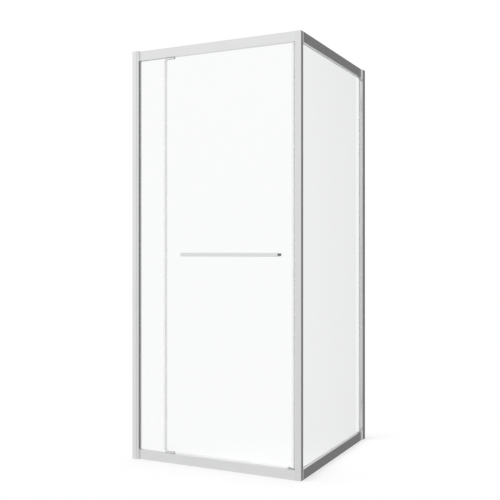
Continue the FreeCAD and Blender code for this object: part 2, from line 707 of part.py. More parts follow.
def door_bottom_seal():
    """Sweep on the bottom edge of the door, with two fins that lean out."""
    x = (shoe_x[1] + SWEEP_END_GAP, stop_x[0] - SWEEP_END_GAP)
    outer = glass_half + SEAL_FIT + SEAL_WALL
    seat_z = door_z[0] - SEAL_FIT
    base_z = seat_z - SEAL_WALL
    tip_z = RAIL_H + SWEEP_GAP
    parts = []
    for side in (-1, 1):
        parts.append(block(x, beside(side, glass_half + SEAL_FIT, outer), (seat_z, door_z[0] + SWEEP_GRIP)))
        root = outer - SWEEP_SPLAY
        outline = [(root, seat_z), (root, base_z), (outer, tip_z), (outer - SWEEP_FIN_T, tip_z)]
        outline += [(root - SWEEP_FIN_T, base_z), (root - SWEEP_FIN_T, seat_z)]
        points = [Vector(x[0], glass_y + side * y, z) for y, z in outline]
        parts.append(prism(points, ALONG_X * (x[1] - x[0])))
    return block(x, around(glass_y, outer), (base_z, seat_z)).fuse(parts).removeSplitter()


stop_screw_top = Vector(stop_x[1] - STOP_SCREW_INSET, glass_y, stop_top_z)


def door_stop():
    """Block plugged into the sill at the strike side: its upstand stops the door from swinging in."""
    plug_x = (stop_x[0], post_face_x - INFILL_GAP)
    plug = block(plug_x, around(glass_y, plug_half), (rail_floor_z, RAIL_H))
    base = block(stop_x, around(glass_y, STOP_DEPTH / 2), (RAIL_H, stop_top_z))
    upstand_x = (stop_x[0], stop_x[0] + STOP_UPSTAND_LEN)
    upstand_y = (glass_y + glass_half + STOP_GLASS_GAP, glass_y + STOP_DEPTH / 2)
    upstand = block(upstand_x, upstand_y, (RAIL_H, door_z[0] + STOP_OVERLAP))
    return plug.fuse([base, upstand]).cut(csk_hole(stop_screw_top))


# Door glass and handle
def across(x, y):
    """Point at handle height."""
    return Vector(x, y, HANDLE_Z)


screw_seat_y = glass_y + glass_half + WASHER_T
screw_room_r = HANDLE_SCREW_D / 2 + HANDLE_SCREW_PASS


def door_glass():
    """Door pane with two holes for the handle."""
    y = through(around(glass_y, glass_half))
    holes = [rod(HANDLE_HOLE_D / 2, across(x, y[0]), across(x, y[1])) for x in handle_post_x]
    return pane((door_edge_x, strike_x), door_z).cut(holes)


def handle_bar():
    """Flat bar with a blind hole behind each end."""
    bar = block(bar_x, bar_y, around(HANDLE_Z, HANDLE_BAR_H / 2))
    bar = bar.makeFillet(HANDLE_EDGE_R, bar.Edges)
    hole_r = HANDLE_SCREW_D / 2 + SCREW_FIT
    bottom_y = bar_y[1] - HANDLE_THREAD - OVERCUT
    return bar.cut([rod(hole_r, across(x, bottom_y), across(x, bar_y[1] + OVERCUT)) for x in handle_post_x])


def handle_post(x):
    """Round stand-off between the bar and the glass."""
    return ring(HANDLE_POST_D / 2, x, (bar_y[1], glass_y - glass_half - WASHER_T))


def ring(outer_r, x, y):
    """Round piece with a hole for a handle screw."""
    bore = through(y)
    body = rod(outer_r, across(x, y[0]), across(x, y[1]))
    return body.cut(rod(screw_room_r, across(x, bore[0]), across(x, bore[1])))


def handle_screw(x):
    """Screw from inside the shower, through the glass and the stand-off into the bar."""
    crown_y = screw_seat_y + HANDLE_HEAD_H
    head = rod(HANDLE_HEAD_D / 2, across(x, screw_seat_y), across(x, crown_y))
    shank = rod(HANDLE_SCREW_D / 2, across(x, bar_y[1] - HANDLE_THREAD), across(x, screw_seat_y))
    recess = hex_recess(HANDLE_SOCKET, across(x, crown_y), across(x, crown_y - HANDLE_SOCKET_DEEP))
    return head.fuse(shank).cut(recess)


def handle_back_cap(x):
    """Cover over the washer and the screw head on the inside of the glass."""
    room_r = WASHER_D / 2 + BACK_CAP_FIT
    face_y = glass_y + glass_half
    room_y = screw_seat_y + HANDLE_HEAD_H + BACK_CAP_FIT
    cover = rod(room_r + BACK_CAP_WALL, across(x, face_y), across(x, room_y + BACK_CAP_WALL))
    cover = cover.makeFillet(BACK_CAP_EDGE_R, [outer_rim(cover, ALONG_Y)])
    return cover.cut(rod(room_r, across(x, face_y - OVERCUT), across(x, room_y)))


# Pieces written out
def save_frame():
    """Channels, jambs, post, rails, keys, caps and screws."""
    save("left_wall_channel", wall_channel())
    save("back_wall_channel", to_side(wall_channel()))
    save("left_jamb", jamb())
    save("back_jamb", to_side(jamb()))
    save("left_jamb_cap", jamb_cap())
    save("back_jamb_cap", to_side(jamb_cap()))
    jamb_screws = [pan_screw(seat, JAMB_SCREW_LEN) for seat in jamb_screw_seats]
    save("jamb_screws", *jamb_screws, *[to_side(screw) for screw in jamb_screws])
    covers = [screw_cover(seat) for seat in jamb_screw_seats]
    save("jamb_screw_covers", *covers, *[to_side(cover) for cover in covers])

    save("corner_post", corner_post())
    save("corner_post_cap", post_cap())
    pivot_cuts = [csk_hole(top) for top in housing_screw_tops]
    sill_cuts = pivot_cuts + [csk_hole(stop_screw_top)] + weep_slots(front_rail)
    save("front_header", to_top(plain_rail(front_rail, rail_y).cut(pivot_cuts)))
    save("front_sill", plain_rail(front_rail, rail_y).cut(sill_cuts))
    save("side_header", to_top(to_side(return_rail())))
    save("side_sill", to_side(return_rail().cut(weep_slots(side_rail))))
    save("bottom_corner_key", drilled_corner_key())
    save("top_corner_key", to_top(drilled_corner_key()))
    jamb_keys = [jamb_key(), to_side(jamb_key())]
    save("jamb_keys", *jamb_keys, *[to_top(key) for key in jamb_keys])
    key_screws = [pan_screw(seat, KEY_SCREW_LEN) for seat in key_screw_seats(front_rail)]
    key_screws += [to_side(pan_screw(seat, KEY_SCREW_LEN)) for seat in key_screw_seats(side_rail)]
    save("key_screws", *key_screws, *[to_top(screw) for screw in key_screws])
    save("sill_infill", infill((housing_x[1] + INFILL_GAP, stop_x[0] - INFILL_GAP)))
    save("header_infill", to_top(infill((housing_x[1] + INFILL_GAP, post_face_x - INFILL_GAP))))


def save_fixed_panes():
    """Fixed and side glass with gaskets, setting blocks and edge seal."""
    save("fixed_panel_glass", pane(fixed_pane, pane_z))
    save("fixed_panel_outer_gasket", fixed_gasket(-1))
    save("fixed_panel_inner_gasket", fixed_gasket(1))
    save("fixed_panel_edge_seal", fixed_edge_seal())
    save("side_panel_glass", to_side(pane(side_pane, pane_z)))
    save("side_panel_outer_gasket", side_gasket(-1))
    save("side_panel_inner_gasket", side_gasket(1))
    side_blocks = [to_side(piece) for piece in setting_blocks(side_rail)]
    save("setting_blocks", *setting_blocks((jamb_face_x, fixed_edge_x)), *side_blocks)


def save_pivot_seats():
    """Housings, bushes, post seal and stop, which stay with the frame."""
    save("bottom_pivot_housing", pivot_housing())
    save("top_pivot_housing", to_top(pivot_housing()))
    save("bottom_pivot_bush", pivot_bush())
    save("top_pivot_bush", to_top(pivot_bush()))
    housing_screws = [csk_screw(top) for top in housing_screw_tops]
    save("pivot_housing_screws", *housing_screws, *[to_top(screw) for screw in housing_screws])
    save("post_magnet_seal", post_magnet_seal())
    save("post_magnet", magnet(post_nose_x, 1, post_seal_z))
    save("door_stop", door_stop())
    save("door_stop_screw", csk_screw(stop_screw_top))


def save_door():
    """Everything that swings."""
    save("door_glass", door_glass())
    save("bottom_pivot_shoe", pivot_shoe(bottom_shoe_z, bottom_web_z, bottom_lip_z))
    save("bottom_shoe_liner", shoe_liner(bottom_web_z, bottom_lip_z))
    save("bottom_shoe_grub_screws", *grub_screws(bottom_web_z, bottom_lip_z))
    save("bottom_pivot_pin", pivot_pin(RAIL_H - PIN_REACH, bottom_web_z))
    save("top_pivot_shoe", pivot_shoe(top_shoe_z, top_web_z, top_lip_z))
    save("top_shoe_liner", shoe_liner(top_web_z, top_lip_z))
    save("top_shoe_grub_screws", *grub_screws(top_web_z, top_lip_z))
    save("top_pivot_pin", pivot_pin(header_z + PIN_REACH, top_web_z))
    save("door_magnet_seal", door_magnet_seal())
    save("door_magnet", magnet(door_nose_x, -1, door_z))
    save("door_bottom_seal", door_bottom_seal())

    save("handle_bar", handle_bar())
    for name, x in zip(("handle_left_post", "handle_right_post"), handle_post_x):
        save(name, handle_post(x))
    washers = []
    for x in handle_post_x:
        for side in (-1, 1):
            washers.append(ring(WASHER_D / 2, x, beside(side, glass_half, glass_half + WASHER_T)))
    save("handle_washers", *washers)
    sleeve_r = HANDLE_HOLE_D / 2 - SLEEVE_FIT
    save("handle_sleeves", *[ring(sleeve_r, x, around(glass_y, glass_half)) for x in handle_post_x])
    save("handle_screws", *[handle_screw(x) for x in handle_post_x])
    save("handle_back_caps", *[handle_back_cap(x) for x in handle_post_x])


os.makedirs("parts", exist_ok=True)
save_frame()
save_fixed_panes()
save_pivot_seats()
save_door()
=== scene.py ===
"""Finishes and soft profiles of a corner shower enclosure with a pivot door, and its studio.

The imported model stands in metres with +Z up, the door faces -Y and the return panel is on +X.
Rigid pieces keep their solids and get a finish here. Gaskets and seals are swept anew from
rounded profiles, because a soft extrusion has no sharp corners.
"""
import math

import bmesh
import bpy
from bpy.props import FloatProperty, FloatVectorProperty, PointerProperty
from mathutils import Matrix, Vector


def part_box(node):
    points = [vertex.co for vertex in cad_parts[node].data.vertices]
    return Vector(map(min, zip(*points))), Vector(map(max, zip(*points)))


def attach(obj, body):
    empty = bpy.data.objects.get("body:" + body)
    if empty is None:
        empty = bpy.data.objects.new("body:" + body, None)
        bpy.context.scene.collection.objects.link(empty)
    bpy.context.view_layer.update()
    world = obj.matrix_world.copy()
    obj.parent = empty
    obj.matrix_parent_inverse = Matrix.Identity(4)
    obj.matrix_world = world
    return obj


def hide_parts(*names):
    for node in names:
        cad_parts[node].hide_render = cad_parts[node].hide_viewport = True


bl_info = {
    "name": "Corner Shower Enclosure",
    "version": (1, 0, 0),
    "blender": (4, 5, 0),
    "location": "3D View > Sidebar > Enclosure",
    "description": "Finishes the panes, profiles, seals and fittings of a corner shower enclosure",
    "category": "Object",
}

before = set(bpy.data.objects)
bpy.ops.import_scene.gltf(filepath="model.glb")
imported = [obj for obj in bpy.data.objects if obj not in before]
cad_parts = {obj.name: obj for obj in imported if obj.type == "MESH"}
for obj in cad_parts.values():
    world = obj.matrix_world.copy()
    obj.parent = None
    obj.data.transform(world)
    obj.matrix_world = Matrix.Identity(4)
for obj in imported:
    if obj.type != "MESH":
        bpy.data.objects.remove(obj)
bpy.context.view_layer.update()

# Nodes that share a finish
UPRIGHTS = ("left_jamb", "back_jamb", "corner_post")
FRONT_RAILS = ("front_header", "front_sill", "sill_infill", "header_infill")
SIDE_RAILS = ("side_header", "side_sill")
CAPS = ("left_jamb_cap", "back_jamb_cap", "corner_post_cap")
PANES = ("fixed_panel_glass", "side_panel_glass", "door_glass")
MAGNETS = ("door_magnet", "post_magnet")
SHOES = ("bottom_pivot_shoe", "top_pivot_shoe")
SHOE_LINERS = ("bottom_shoe_liner", "top_shoe_liner")
PIVOT_STEEL = ("bottom_pivot_pin", "top_pivot_pin", "bottom_shoe_grub_screws",
               "top_shoe_grub_screws")
PIVOT_BUSHES = ("bottom_pivot_bush", "top_pivot_bush")
PIVOT_HOUSINGS = ("bottom_pivot_housing", "top_pivot_housing")
HANDLE_CHROME = ("handle_bar", "handle_left_post", "handle_right_post", "handle_back_caps")
HANDLE_CLEAR = ("handle_washers", "handle_sleeves")
SCREWS = ("key_screws", "jamb_screws", "pivot_housing_screws")
HIDDEN_ACETAL = ("setting_blocks", "top_corner_key", "bottom_corner_key", "jamb_keys")

# Directions that the lines of an extrusion or a brush run in
ALONG_X = Vector((1, 0, 0))
ALONG_Y = Vector((0, 1, 0))
ALONG_Z = Vector((0, 0, 1))

# Marks of the finishes, in waves per metre unless a line says otherwise
LINE_RUN = 0.35  # length of the lines along a profile or a brush stroke, in metres
WIPE_MARKS = (60, 900, 900)
DRAW_LINES = (1400, 1400, 1400)
PANE_WAVES, PANE_WAVE_DETAIL = (3, 3, 9), 1.0
PANE_FILM, PANE_FILM_DETAIL = (14, 14, 11), 4.0
NOISE_MIDDLE = (0.3, 0.7)  # range that most of a noise lies in

# Octaves of the marks, clouds that change the colour by a share, and height in metres and
# strength of the relief that the marks make
SATIN = {"detail": 3.0, "clouds": (5, 5, 3), "cloud_detail": 2.0, "change": 0.012,
         "height": 0.000004, "relief": 0.5}
PLATING = {"detail": 3.0, "clouds": (25, 40, 40), "cloud_detail": 2.0, "change": 0.01,
           "height": 0.000002, "relief": 0.3}
VINYL = {"detail": 2.0, "clouds": (30, 30, 12), "cloud_detail": 2.0, "change": 0.015,
         "height": 0.00001, "relief": 0.4}
MOULDED = {"detail": 4.0, "clouds": (35, 35, 35), "cloud_detail": 3.0, "change": 0.05,
           "height": 0.00003, "relief": 0.6}

# How far the marks change the roughness
SATIN_SPREAD = 0.05  # to either side
MOULDED_SPREAD = 0.07  # to either side
PLATING_SPREAD = (0.6, 1.5)  # times the roughness
VINYL_ROUGHNESS = (0.12, 0.24)
VINYL_CLEAR = 0.88  # share of the light that goes through
VINYL_IOR = 1.4

# Sections of the gaskets and seals, in metres unless a line says otherwise
GASKET_LIP = (  # from the glass outwards: share of the thickness, share of the stand
    (0.0, 0.55), (0.06, 0.3), (0.2, 0.1), (0.36, 0.0),
    (0.55, 0.06), (0.75, 0.32), (0.92, 0.72), (1, 1),
)
LIP_EASE = 0.0004  # rounding at the free ends of a grip
BACK_EASE = 0.0008  # rounding at the back of a grip
EDGE_BACK_EASE = 0.0009  # the same on the edge seal of the fixed pane
NOOK_EASE = 0.0006  # rounding beside a fin or a nose
EDGE_FIN_ROOT, EDGE_FIN_TIP = 0.001, 0.0007  # half the thickness of the fin
SWEEP_INSET = 0.002  # from the side of the sweep to the root of a fin
SWEEP_BOW_OUT, SWEEP_BOW_IN = 0.0005, 0.0004  # bow of a fin's outer and inner face
SWEEP_ROOT_EASE, SWEEP_BOW_EASE, SWEEP_TIP_EASE = 0.0005, 0.0008, 0.0003
STEM_HALF, HEAD_HALF, NECK = 0.0013, 0.0026, 0.0018  # tongue in the slot of the post
TONGUE_EASE = 0.0003
EASE_STEPS = 5  # pieces of a rounding
SHARP_FROM = math.radians(40)  # angle from which an edge of a swept piece is sharp

# Studio
LAMP_FROM = Vector((-0.45, -0.75, 1.1)).normalized()  # direction of the lamp, from the enclosure
LAMP_SPREAD = math.radians(60)  # angle that the lamp covers
WALL_SLOPE = 0.3  # rise of the directions where the mirrored walls are lightest
FLOOR_REACH = 9.0  # from the middle to a side
FLOOR_MARGIN = 0.015  # makes up to the camera for the fill that the enclosure keeps off the floor
SENSOR_WIDTH = 36.0  # in millimetres
LEVEL_VIEW = math.radians(90)  # tilt of a camera that looks level
BLACK, WHITE = (0, 0, 0, 1), (1, 1, 1, 1)
WHITE_LEVEL = 1.0
ONE_FACE = 1  # faces that a ray inside a pane has passed
HALF_STEP = 0.5  # tells one count of a ray's depth from the next


# Properties
def colour(name, description, default):
    """Colour property of a finish."""
    return FloatVectorProperty(name=name, description=description, default=default, min=0, max=1,
                               size=3, subtype="COLOR")


def share(name, description, default):
    """Property from 0 to 1."""
    return FloatProperty(name=name, description=description, default=default, min=0, max=1,
                         subtype="FACTOR")


def length(name, description, default):
    """Length property in metres."""
    return FloatProperty(name=name, description=description, default=default, min=0, precision=5,
                         unit="LENGTH")


def angle(name, description, degrees):
    """Angle property."""
    return FloatProperty(name=name, description=description, default=math.radians(degrees),
                         subtype="ANGLE")


class MetalFinish(bpy.types.PropertyGroup):
    """Colours and surface of the metal pieces."""
    rail: colour("Rails", "Anodised colour of headers, sills and infill strips",
                 (0.775, 0.777, 0.78))
    upright: colour("Uprights", "Anodised colour of jambs, post and end caps",
                    (0.752, 0.754, 0.757))
    satin: share("Satin", "Roughness of rails and uprights", 0.2)
    left_channel: colour("Left Channel", "Anodised colour of the left wall channel",
                         (0.805, 0.807, 0.81))
    # Painted shade: the back wall channel is the same part as the left one, and this darker colour
    # stands in for the shade that falls on it
    back_channel_painted_shade: colour("Back Channel", "Darker colour of the back wall channel",
                         (0.4, 0.401, 0.404))
    channel_roughness: share("Channel Roughness", "Satin of the wall channels", 0.2)
    chrome: colour("Chrome", "Plating of handle and pivot shoes", (0.77, 0.775, 0.78))
    chrome_roughness: share("Chrome Roughness", "Haze of the plating", 0.07)
    steel: colour("Stainless Steel", "Screws and pivot pins", (0.6, 0.6, 0.61))
    steel_roughness: share("Steel Roughness", "Brushing of screws and pins", 0.32)
    line_width: length("Extrusion Lines", "Width of the fine lines along a profile", 0.0007)
    brush_width: length("Brush Lines", "Width of the brush lines on screws and pins", 0.0003)


class GlassFinish(bpy.types.PropertyGroup):
    """Tint and surface of the panes."""
    tint: colour("Tint", "Colour that white light keeps behind a pane", (0.985, 0.995, 0.993))
    mirrored: colour("Mirrored Tint", "What metal mirrors through each face of a pane",
                     (0.96, 0.962, 0.961))
    ior: FloatProperty(name="Refraction", description="Index of refraction", default=1.45,
                       min=1, max=2)
    haze: share("Haze", "Highest roughness of the surface", 0.012)
    wave: length("Roller Wave", "Height of the slow waves that toughening leaves", 0.00002)


class SoftFinish(bpy.types.PropertyGroup):
    """Colours and sections of gaskets and seals."""
    gasket: colour("Gasket", "Outer glazing gasket", (0.75, 0.75, 0.76))
    gasket_roughness: share("Gasket Roughness", "Matt surface of the outer gaskets", 0.55)
    gasket_grain: length("Gasket Grain", "Size of the grain of the outer gaskets", 0.0004)
    clear: colour("Clear Seal", "Transparent seals, liners and washers", (0.95, 0.955, 0.955))
    pale: colour("Pale Seal", "Inner gaskets and the seal in the slot of the post",
                 (0.96, 0.96, 0.96))
    pale_roughness: share("Pale Roughness", "Satin of the pale seals under their skin", 0.4)
    skin: share("Skin", "Smooth skin on the pale seals", 0.8)
    fin_pale: colour("Edge Fin", "Soft fin between the fixed pane and the door",
                     (0.97, 0.97, 0.97))
    fin_roughness: share("Fin Roughness", "Matt surface of the edge fin", 0.5)
    magnet: colour("Magnet Strip", "Magnet strips in the seals", (0.94, 0.94, 0.94))
    magnet_roughness: share("Magnet Roughness", "Matt surface of the magnet strips", 0.6)
    grain: length("Seal Grain", "Size of the grain of pale seals, fin and magnets", 0.0005)
    gasket_proud: length("Gasket Stand", "How far a gasket stands out of its pocket", 0.001)
    gasket_deep: length("Gasket Depth", "Length of a gasket from its lip into the pocket", 0.012)
    wall: length("Seal Wall", "Wall of the grips", 0.0012)
    ease: length("Seal Rounding", "Rounding of the noses of the strike seals", 0.0014)
    fin: length("Fin", "Thickness of the fins of the bottom seal", 0.0009)
    seat: length("Seat", "Hair of air between a soft piece and the glass", 0.00005)


class PlasticFinish(bpy.types.PropertyGroup):
    """Colours and surface of the moulded pieces."""
    pale: colour("Acetal", "Bushes, housings, keys, setting blocks and screw covers",
                 (0.86, 0.86, 0.85))
    bush_roughness: share("Bush Roughness", "Satin of bushes and housings", 0.4)
    cover_roughness: share("Cover Roughness", "Satin of the screw covers", 0.35)
    key_roughness: share("Key Roughness", "Matt surface of keys and setting blocks", 0.5)
    grey: colour("Grey Nylon", "Door stop", (0.5, 0.5, 0.51))
    stop_roughness: share("Stop Roughness", "Matt surface of the door stop", 0.5)
    grain: length("Grain", "Size of the moulded grain", 0.0006)


class StudioSetup(bpy.types.PropertyGroup):
    """Camera, floor and light."""
    camera_place: FloatVectorProperty(name="Camera", description="Place of the camera", size=3,
                                      default=(1.7731, -3.6576, 1.0255), subtype="TRANSLATION")
    camera_turn: angle("Camera Turn", "Turn of the view from +Y to -X", 26.129)
    lens: FloatProperty(name="Lens", description="Focal length on a 36 mm sensor", default=56.61,
                        min=1, unit="CAMERA")
    floor: colour("Floor", "Floor under the enclosure", (0.72, 0.72, 0.72))
    fill: share("Fill Light", "Even light from all round", 0.65)
    lamp: FloatProperty(name="Lamp", description="Strength of the soft key lamp", default=1.0,
                        min=0)
    wall_low: share("Walls Low", "What metal and glass mirror from below", 0.855)
    wall_high: share("Walls High", "What metal and glass mirror from above", 1.0)
    dark_side: share("Dark Side", "What they mirror from the dark side of the room", 0.217)
    dark_turn: angle("Dark Turn", "Turn of the dark side from +Y to +X", 18)
    dark_half: angle("Dark Half", "From the middle of the dark side to where it starts to fade", 9)
    dark_fade: angle("Dark Fade", "From the middle of the dark side to where the room is light", 46)


# Shader nodes
class Graph:
    """Node tree with short ways to add nodes and wires."""

    def __init__(self, tree):
        self.tree = tree

    def node(self, kind, **settings):
        """New node with its attributes set."""
        made = self.tree.nodes.new(kind)
        for key, value in settings.items():
            setattr(made, key, value)
        return made

    def link(self, source, target):
        """Wire between two sockets."""
        self.tree.links.new(source, target)

    def feed(self, sockets, terms):
        """Wire or plain value for each socket in turn."""
        for socket, term in zip(sockets, terms):
            if isinstance(term, bpy.types.NodeSocket):
                self.link(term, socket)
            else:
                socket.default_value = term

    def math(self, operation, *terms):
        """Result of a sum on numbers and sockets."""
        made = self.node("ShaderNodeMath", operation=operation)
        self.feed(made.inputs, terms)
        return made.outputs["Value"]

    def vector(self, operation, *terms):
        """Outputs of a sum on directions."""
        made = self.node("ShaderNodeVectorMath", operation=operation)
        self.feed(made.inputs, terms)
        return made.outputs

    def mapped(self, source, *ends):
        """Number carried from one range, given by its two ends, to another."""
        made = self.node("ShaderNodeMapRange")
        names = ("Value", "From Min", "From Max", "To Min", "To Max")
        self.feed([made.inputs[name] for name in names], (source, *ends))
        return made.outputs["Result"]

    def ramp(self, source, places, shades, interpolation="LINEAR"):
        """Colour that goes from one shade to the next between two places of a number."""
        made = self.node("ShaderNodeValToRGB")
        made.color_ramp.interpolation = interpolation
        for stop, place, shade in zip(made.color_ramp.elements, places, shades):
            stop.position = place
            stop.color = shade
        self.link(source, made.inputs["Fac"])
        return made.outputs["Color"]

    def mix(self, factor, first, second):
        """Shader that goes from the first to the second."""
        made = self.node("ShaderNodeMixShader")
        self.feed(made.inputs, (factor, first, second))
        return made.outputs["Shader"]

    def uncounted(self, depth):
        """Switch for rays whose depth is still 0."""
        return self.math("LESS_THAN", depth, HALF_STEP)

    def mirrors(self, path):
        """Switch for rays off metal or glass, unless a matt surface has spread the light."""
        unspread = self.uncounted(path["Diffuse Depth"])
        return self.math("MULTIPLY", path["Is Glossy Ray"], unspread)

    def shows_white(self):
        """Switch for rays that show the white room: straight from the camera, or through a pane."""
        path = self.node("ShaderNodeLightPath").outputs
        direct = self.uncounted(self.math("ADD", path["Glossy Depth"], path["Diffuse Depth"]))
        clear = self.math("MULTIPLY", path["Is Transmission Ray"], direct)
        inside_pane = self.math("COMPARE", path["Transmission Depth"], ONE_FACE, HALF_STEP)
        back_face = self.math("MULTIPLY", self.mirrors(path), inside_pane)
        through = self.math("MAXIMUM", clear, back_face)
        return self.math("MAXIMUM", path["Is Camera Ray"], through)


class Finish(Graph):
    """One material with the few kinds of nodes that the finishes share."""

    def __init__(self, name):
        self.material = bpy.data.materials.new(name)
        self.material.use_nodes = True
        super().__init__(self.material.node_tree)
        self.shader = self.tree.nodes["Principled BSDF"]
        self.output = self.tree.nodes["Material Output"].inputs["Surface"]

    def set(self, **values):
        """Plain values on the shader's own sockets; an underscore stands for a space."""
        for key, value in values.items():
            self.shader.inputs[key.replace("_", " ")].default_value = value

    def noise(self, scale, detail):
        """Noise in the piece's own coordinates, with its own scale in each direction."""
        place = self.node("ShaderNodeTexCoord")
        stretch = self.node("ShaderNodeMapping")
        stretch.inputs["Scale"].default_value = scale
        noise = self.node("ShaderNodeTexNoise")
        noise.inputs["Scale"].default_value = 1.0
        noise.inputs["Detail"].default_value = detail
        self.link(place.outputs["Object"], stretch.inputs["Vector"])
        self.link(stretch.outputs["Vector"], noise.inputs["Vector"])
        return noise.outputs["Fac"]

    def spread(self, source, low, high):
        """Roughness that follows the middle of a noise."""
        roughness = self.mapped(source, *NOISE_MIDDLE, low, high)
        self.link(roughness, self.shader.inputs["Roughness"])

    def tone(self, source, tint, change):
        """Base colour that a noise makes slightly darker or lighter."""
        dark = (*[value * (1 - change) for value in tint], 1)
        light = (*[min(1, value * (1 + change)) for value in tint], 1)
        self.link(self.ramp(source, NOISE_MIDDLE, (dark, light)), self.shader.inputs["Base Color"])

    def bump(self, source, height, strength=1.0):
        """Relief of a given height from a noise."""
        relief = self.node("ShaderNodeBump")
        relief.inputs["Strength"].default_value = strength
        relief.inputs["Distance"].default_value = height
        self.link(source, relief.inputs["Height"])
        self.link(relief.outputs["Normal"], self.shader.inputs["Normal"])

    def detail(self, tint, scale, low, high, surface):
        """Fine marks in roughness and relief, and slow clouds in the colour."""
        marks = self.noise(scale, surface["detail"])
        clouds = self.noise(surface["clouds"], surface["cloud_detail"])
        self.tone(clouds, tint, surface["change"])
        self.spread(marks, low, high)
        self.bump(marks, surface["height"], surface["relief"])

    def let_lamps_through(self, mirrored=(1, 1, 1)):
        """Lamps light, and metal mirrors in a tint, what is behind a clear piece."""
        path = self.node("ShaderNodeLightPath").outputs
        lit = self.node("ShaderNodeBsdfTransparent")
        seen = self.node("ShaderNodeBsdfTransparent")
        seen.inputs["Color"].default_value = (*mirrored, 1)
        shader = self.mix(path["Is Glossy Ray"], self.shader.outputs["BSDF"], seen.outputs["BSDF"])
        self.link(self.mix(path["Is Shadow Ray"], shader, lit.outputs["BSDF"]), self.output)


def lines_along(direction, width):
    """Noise scale that draws lines of one width in a direction."""
    return [1 / LINE_RUN if part else 1 / width for part in direction]


def satin_metal(name, tint, roughness, direction, width):
    """Anodised or brushed metal with fine lines in one direction."""
    finish = Finish(name)
    finish.set(Metallic=1.0)
    finish.detail(tint, lines_along(direction, width), roughness - SATIN_SPREAD,
                  roughness + SATIN_SPREAD, SATIN)
    return finish.material


def screw_steel(name, metal, direction):
    """Brushed stainless steel of screws and pins."""
    return satin_metal(name, metal.steel, metal.steel_roughness, direction, metal.brush_width)


def polished_plating(name, metal):
    """Bright plating with faint wiping marks."""
    finish = Finish(name)
    finish.set(Metallic=1.0)
    low, high = (metal.chrome_roughness * times for times in PLATING_SPREAD)
    finish.detail(metal.chrome, WIPE_MARKS, low, high, PLATING)
    return finish.material


def clear_pane(name, glass):
    """Toughened glass with slow waves and a trace of haze."""
    finish = Finish(name)
    finish.set(Base_Color=(*glass.tint, 1), Transmission_Weight=1.0, IOR=glass.ior)
    finish.spread(finish.noise(PANE_FILM, PANE_FILM_DETAIL), 0.0, glass.haze)
    finish.bump(finish.noise(PANE_WAVES, PANE_WAVE_DETAIL), glass.wave)
    finish.let_lamps_through(glass.mirrored)
    return finish.material


def clear_vinyl(name, tint):
    """Flexible transparent plastic with draw lines."""
    finish = Finish(name)
    finish.set(Transmission_Weight=VINYL_CLEAR, IOR=VINYL_IOR)
    finish.detail(tint, DRAW_LINES, *VINYL_ROUGHNESS, VINYL)
    finish.let_lamps_through()
    return finish.material


def moulded_plastic(name, tint, roughness, grain, coat=0.0):
    """Moulded plastic or rubber with a fine grain, and a smooth skin where it has a coat."""
    finish = Finish(name)
    finish.set(Coat_Weight=coat)
    finish.detail(tint, [1 / grain] * 3, roughness - MOULDED_SPREAD, roughness + MOULDED_SPREAD,
                  MOULDED)
    return finish.material


def pale_vinyl(name, soft):
    """Pale plastic of the inner gaskets and the seal in the post."""
    return moulded_plastic(name, soft.pale, soft.pale_roughness, soft.grain, soft.skin)


def apply_finish(material, names):
    """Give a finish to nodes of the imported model."""
    for name in names:
        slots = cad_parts[name].material_slots
        if not slots:
            raise RuntimeError(f"{name} has no material slot")
        for slot in slots:
            slot.material = material


# Swept profiles
def rounded_outline(corners):
    """Closed outline whose corners (u, v, reach) are eased over their reach."""
    outline = []
    for i, (u, v, reach) in enumerate(corners):
        here = Vector((u, v))
        if not reach:
            outline.append(here)
            continue
        before = Vector(corners[i - 1][:2])
        after = Vector(corners[(i + 1) % len(corners)][:2])
        start = here + (before - here).normalized() * reach
        end = here + (after - here).normalized() * reach
        for k in range(EASE_STEPS + 1):
            t = k / EASE_STEPS
            outline.append(start * (1 - t) ** 2 + here * (2 * t * (1 - t)) + end * t ** 2)
    return outline


def swept_piece(name, outline, stations, closed, material):
    """Mesh of an outline carried through stations, each a function from the outline to space."""
    count = len(outline)
    vertices = [station(*point) for station in stations for point in outline]
    faces = []
    for i in range(len(stations) if closed else len(stations) - 1):
        near, far = i * count, (i + 1) % len(stations) * count
        for j in range(count):
            k = (j + 1) % count
            faces.append((near + j, near + k, far + k, far + j))
    if not closed:
        faces.append(tuple(range(count)))
        faces.append(tuple(range(len(vertices) - count, len(vertices))))
    mesh = bpy.data.meshes.new(name)
    mesh.from_pydata(vertices, [], faces)
    shape = bmesh.new()
    shape.from_mesh(mesh)
    bmesh.ops.recalc_face_normals(shape, faces=shape.faces)
    for face in shape.faces:
        face.smooth = True
    shape.to_mesh(mesh)
    shape.free()
    mesh.set_sharp_from_angle(angle=SHARP_FROM)
    mesh.materials.append(material)
    piece = bpy.data.objects.new(name, mesh)
    bpy.context.scene.collection.objects.link(piece)
    return piece


def straight_seal(name, half, stations, material):
    """Seal with the same section on both sides of the glass, from the half on the +v side."""
    section = half + [(u, -v, reach) for u, v, reach in reversed(half)]
    return swept_piece(name, rounded_outline(section), stations, False, material)


def stand_for(piece, node, body):
    """Put a swept piece in the place of a node."""
    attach(piece, body)
    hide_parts(node)


def upright_stations(x, y, levels):
    """Stations at both ends of an upright profile whose outline starts at x, y."""
    return [lambda u, v, z=z: (x + u, y + v, z) for z in levels]


def gasket_outline(thick, soft):
    """Section of a gasket: u leads away from the glass and v down into the pocket."""
    seat, width = soft.seat, thick - soft.seat
    crest = [Vector((seat + u * width, v * soft.gasket_proud)) for u, v in GASKET_LIP]
    return crest + [Vector((thick, soft.gasket_deep)), Vector((seat, soft.gasket_deep))]


